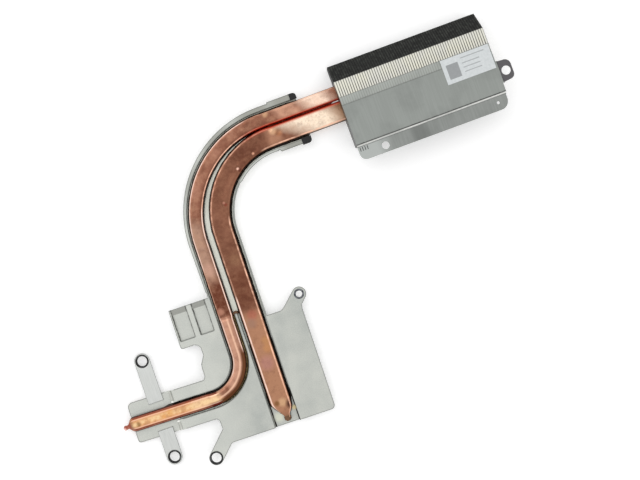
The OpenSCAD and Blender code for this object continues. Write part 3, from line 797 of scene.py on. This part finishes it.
def narrow_path():
    """From the leg's end through the tight bend, up the plate, and right into the stack."""
    leg = math.radians(90 - TIGHT_TURN)
    x = NARROW_X - TIGHT_BEND + TIGHT_BEND * math.sin(leg) + BEAD_U * math.cos(leg)
    y = TIGHT_BEND_Y - TIGHT_BEND * math.cos(leg) + BEAD_U * math.sin(leg)
    path = Path(x, y, 90 - TIGHT_TURN).run(-BEAD_U).bend(TIGHT_BEND, TIGHT_TURN)
    return path.run(NARROW_BEND_Y - TIGHT_BEND_Y).bend(NARROW_BEND, -UPPER_TURN).to_end()


def between(table, at):
    """Interpolates smoothly in rows of (place, value, value, ...)."""
    if at <= table[0][0]:
        return table[0][1:]
    for low, high in zip(table, table[1:]):
        if at <= high[0]:
            f = (at - low[0]) / (high[0] - low[0])
            f = f * f * (3 - 2 * f)
            return tuple(a + (b - a) * f for a, b in zip(low[1:], high[1:]))
    return table[-1][1:]


def section(left, right, bottom, top):
    """Cross-section of a flattened pipe as (across, height) points, anticlockwise from its lowest right point."""
    half = (top - bottom) / 2
    r = min(half, (left + right) / 2)
    middle = (top + bottom) / 2
    points = []
    for i in range(SIDE_POINTS + 1):
        a = math.pi * (i / SIDE_POINTS - 0.5)
        points.append((right - r + r * math.cos(a), middle + half * math.sin(a)))
    for i in range(1, FLAT_POINTS):
        f = i / FLAT_POINTS
        x = right - r + (r - left - right + r) * f
        points.append((x, top - TOP_DIP * math.sin(math.pi * f)))
    for i in range(SIDE_POINTS + 1):
        a = math.pi * (i / SIDE_POINTS + 0.5)
        points.append((r - left + r * math.cos(a), middle + half * math.sin(a)))
    return points


def surface_change(x, y, across, dents):
    """Small unevenness of a pipe's top, with its dents."""
    change = 0.05 * noise.noise(Vector((0.12 * x, 0.12 * y, 0.3 * across)))
    for dx, dy, radius, height in dents:
        d2 = ((x - dx) ** 2 + (y - dy) ** 2) / radius ** 2
        if d2 < 9:
            change += height * math.exp(-d2)
    return change


def loft(name, path, profile, dents, material):
    """A pipe drawn along its path, with its place along and across as texture coordinates."""
    work = bmesh.new()
    uv = work.loops.layers.uv.new("path")
    rows, places = [], {}
    for x, y, heading, along in path.stations:
        left, right, bottom, top = between(profile, along)
        row = []
        for across, z in section(left, right, bottom, top):
            px, py = x + across * math.sin(heading), y - across * math.cos(heading)
            if z > (bottom + top) / 2:
                z += surface_change(px, py, across, dents)
            corner = work.verts.new((px * MM, py * MM, z * MM))
            places[corner] = (along / PATH_UNIT, 0.5 + 0.5 * across / (right if across > 0 else left))
            row.append(corner)
        rows.append(row)
    stitch(work, rows)
    for face in work.faces:
        for loop in face.loops:
            loop[uv].uv = places[loop.vert]
    return add_piece(name, work, material)


def pipes():
    """Both heat pipes as smooth drawn tubes."""
    wide, narrow = wide_copper(), narrow_copper()
    one = loft("wide_pipe_smooth", wide_path(), WIDE_PROFILE, WIDE_DENTS, wide)
    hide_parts("wide_heat_pipe")
    two = loft("narrow_pipe_smooth", narrow_path(), NARROW_PROFILE, NARROW_DENTS, narrow)
    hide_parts("narrow_heat_pipe")


# Solder and collars


# Height at which solder meets the channel floor, and length over which a run of solder tapers at its ends
SOLDER_FOOT, SOLDER_TAPER = 2.02, 3

# Points round a rolled collar, the screw holes with collars, and the small hole with a pressed dish
RING_POINTS = 48
ARM_HOLES = {"upper": (-53.135, 25.0), "lower": (-52.825, -25.6)}
EAR_HOLE = (-32.8, -32.6)
DISH_HOLE = (32.5, 32.1)

# Inner and outer radius of the collars and of the dish, and bottom and top of each
COLLAR_RADII, DISH_RADII = (2.5, 3.5), (1.62, 2.7)
ARM_COLLAR, EAR_COLLAR, DISH = (1.2, 2.66), (3.0, 4.66), (4.2, 4.5)


def fillet_section(half, out, taper):
    """Cross-section of a run of solder as (distance from the pipe's middle line, height) points."""
    return [(half - 1.2, SOLDER_FOOT), (half - 0.1, PIPE_BOTTOM + 1.3 * taper),
            (half + 0.2 * out, PIPE_BOTTOM + 0.8 * taper), (half + 0.6 * out * taper, PIPE_BOTTOM + 0.3 * taper),
            (half + out * taper, SOLDER_FOOT)]


def fillet(name, path, start, end, side, half, reach, material):
    """Uneven solder along a stretch of a pipe, on its right if side is 1 and on its left if it is -1.

    half is how far the pipe's flank is from its middle line, and reach is how far the solder comes past it.
    """
    work = bmesh.new()
    rows = []
    for x, y, heading, along in path.stations:
        if start <= along <= end:
            ax, ay = side * math.sin(heading), -side * math.cos(heading)
            wave = 0.5 + 0.5 * noise.noise(Vector((0.35 * x, 0.35 * y, 3.0 * side)))
            taper = min(1, (along - start) / SOLDER_TAPER, (end - along) / SOLDER_TAPER) + 0.02
            points = fillet_section(half, reach * (0.55 + 0.45 * wave), taper)
            rows.append([work.verts.new(((x + d * ax) * MM, (y + d * ay) * MM, z * MM)) for d, z in points])
    stitch(work, rows)
    return add_piece(name, work, material)


def blob(name, x, y, z, radii, turn, material):
    """A small lump of solder with an uneven skin, sunk into what it lies on."""
    work = bmesh.new()
    bmesh.ops.create_icosphere(work, subdivisions=4, radius=1)
    for vertex in work.verts:
        swell = 1 + 0.28 * noise.noise(2.1 * vertex.co + Vector((x, y, z)))
        px, py = turned(vertex.co.x * radii[0] * swell, vertex.co.y * radii[1] * swell, turn)
        vertex.co = Vector((x + px, y + py, z + vertex.co.z * radii[2] * swell)) * MM
    return add_piece(name, work, material)


def solder():
    """Solder and flux in the channels; the dark runs beside the pipes are solder and also painted shade of the gaps by
    the channel walls.
    """
    # Near-black solder, which also stands as painted shade in the gaps between the pipes and the channel walls
    dark = solder_metal("solder_metal", linear(24, 15, 12), linear(52, 36, 27), linear(140, 112, 76))
    red = solder_metal("seam_metal", linear(124, 34, 22), linear(194, 80, 56), linear(240, 170, 144))
    wide, narrow = wide_path(), narrow_path()
    flank = NARROW_HALF - 0.1
    fillet("wide_solder_and_shade_left", wide, 8, 178, -1, WIDE_HALF, 0.55, dark)
    fillet("wide_solder_and_shade_right", wide, 8, 178, 1, WIDE_HALF, 0.75, dark)
    fillet("narrow_solder_and_shade_left", narrow, 22, 230, -1, flank, 0.7, dark)
    fillet("narrow_solder_and_shade_right", narrow, 22, 51, 1, flank, 0.45, dark)
    fillet("narrow_solder_and_shade_upper", narrow, 96, 215, 1, flank, 0.45, dark)
    olive = solder_metal("bend_metal", linear(104, 84, 54), linear(180, 158, 108), linear(232, 216, 170))
    fillet("bend_solder", narrow, 50, 97, 1, flank, 0.9, olive)
    gold = solder_metal("bridge_metal", linear(70, 44, 28), linear(128, 92, 62), linear(190, 160, 116))
    blob("bridge_solder", -0.9, 32.9, 3.1, (1.9, 1.1, 1.0), 0.2, gold)
    blob("nose_solder", 7.4, -25.0, 3.2, (1.75, 1.7, 1.15), 0.3, gold)
    fillet("narrow_seam", narrow, 205, 248, 1, NARROW_HALF - 0.3, 1.3, red)


def ring(name, x, y, inner, outer, bottom, top, material):
    """A rolled collar round a hole, as a lathed lip."""
    work = bmesh.new()
    lip = [(inner, bottom), (inner, top - 0.25), (inner + 0.1, top), ((inner + outer) / 2, top + 0.1),
           (outer - 0.1, top), (outer, top - 0.2), (outer, bottom)]
    rows = []
    for i in range(RING_POINTS):
        a = 2 * math.pi * i / RING_POINTS
        rows.append([work.verts.new(((x + r * math.cos(a)) * MM, (y + r * math.sin(a)) * MM, z * MM)) for r, z in lip])
    stitch(work, rows, closed=True)
    return add_piece(name, work, material)


def collars():
    """Rolled collars of the large screw holes, painted dark for the shade on their inner walls, and the grey dish of
    the small one, painted darker for the shade in its hollow.
    """
    dark = collar_shade_steel()
    for name, (x, y) in ARM_HOLES.items():
        ring("arm_collar_" + name, x, y, *COLLAR_RADII, *ARM_COLLAR, dark)
    ring("ear_collar", *EAR_HOLE, *COLLAR_RADII, *EAR_COLLAR, dark)
    ring("dish_collar", *DISH_HOLE, *DISH_RADII, *DISH, dish_shade_steel())


# Stage, in metres


# Half the floor's width, and its middle, a little below the object
FLOOR_HALF = 1.5
FLOOR_PLACE = (0.05, 0.05, -0.0002)

# Where the lamps look, and how wide they are
LAMP_AIM = (0.05, 0.05, 0)
LAMP_SIZE = 0.9


def seen_directly(n, strength):
    """Strength for camera, glossy and transmission rays, and nothing for the others."""
    rays = n.new("ShaderNodeLightPath").outputs
    return n.times(n.most(rays["Is Camera Ray"], rays["Is Glossy Ray"], rays["Is Transmission Ray"]), strength)


def floor():
    """White floor that keeps the object's shadow."""
    h = FLOOR_HALF
    mesh = bpy.data.meshes.new("floor")
    mesh.from_pydata([(-h, -h, 0), (h, -h, 0), (h, h, 0), (-h, h, 0)], [], [(0, 1, 2, 3)])
    obj = bpy.data.objects.new("floor", mesh)
    bpy.context.scene.collection.objects.link(obj)
    obj.location = FLOOR_PLACE
    n = Nodes("floor_white")
    n.color = (0.86, 0.86, 0.86, 1)
    n.shader.inputs["Specular IOR Level"].default_value = 0.0
    n.shader.inputs["Emission Color"].default_value = (1, 1, 1, 1)
    n.feed(n.shader.inputs["Emission Strength"], seen_directly(n, FLOOR_GLOW))
    obj.data.materials.append(n.finish(metal=0.0, rough=0.9))


def world():
    """Soft even light from all sides, white where it is seen."""
    w = bpy.data.worlds.new("studio")
    bpy.context.scene.world = w
    w.use_nodes = True
    n = Tree(w.node_tree)
    background = n.tree.nodes["Background"]
    background.inputs["Color"].default_value = (1, 1, 1, 1)
    strength = n.math("ADD", seen_directly(n, 1 - WORLD_LIGHT), WORLD_LIGHT)
    n.feed(background.inputs["Strength"], strength)


def lamp(name, place, aim, power, size):
    """A round soft lamp that looks at its aim, with its power in watts."""
    data = bpy.data.lights.new(name, "AREA")
    data.shape = "DISK"
    data.size = size
    data.energy = power
    obj = bpy.data.objects.new(name, data)
    bpy.context.scene.collection.objects.link(obj)
    obj.location = place
    obj.rotation_euler = (Vector(aim) - Vector(place)).to_track_quat("-Z", "Y").to_euler()


def lights():
    """A soft key lamp from the upper left of the view, and a weaker one from the lower right."""
    lamp("key", (-0.35, 0.55, 0.9), LAMP_AIM, 1.6, LAMP_SIZE)
    lamp("fill", (0.6, -0.4, 0.7), LAMP_AIM, 0.8, LAMP_SIZE)


def camera():
    """The photo's own view."""
    data = bpy.data.cameras.new("camera")
    data.sensor_width = SENSOR_WIDTH
    data.lens = FOCAL_LENGTH
    data.clip_start = CAMERA_NEAR
    obj = bpy.data.objects.new("camera", data)
    bpy.context.scene.collection.objects.link(obj)
    obj.location = CAMERA_PLACE
    obj.rotation_euler = (0, 0, CAMERA_ROLL)
    bpy.context.scene.camera = obj


def main():
    """Builds the stage and the pieces."""
    bpy.context.scene.view_settings.view_transform = "Standard"
    camera()
    world()
    lights()
    floor()
    dress()
    sheets()
    pipes()
    solder()
    collars()


main()
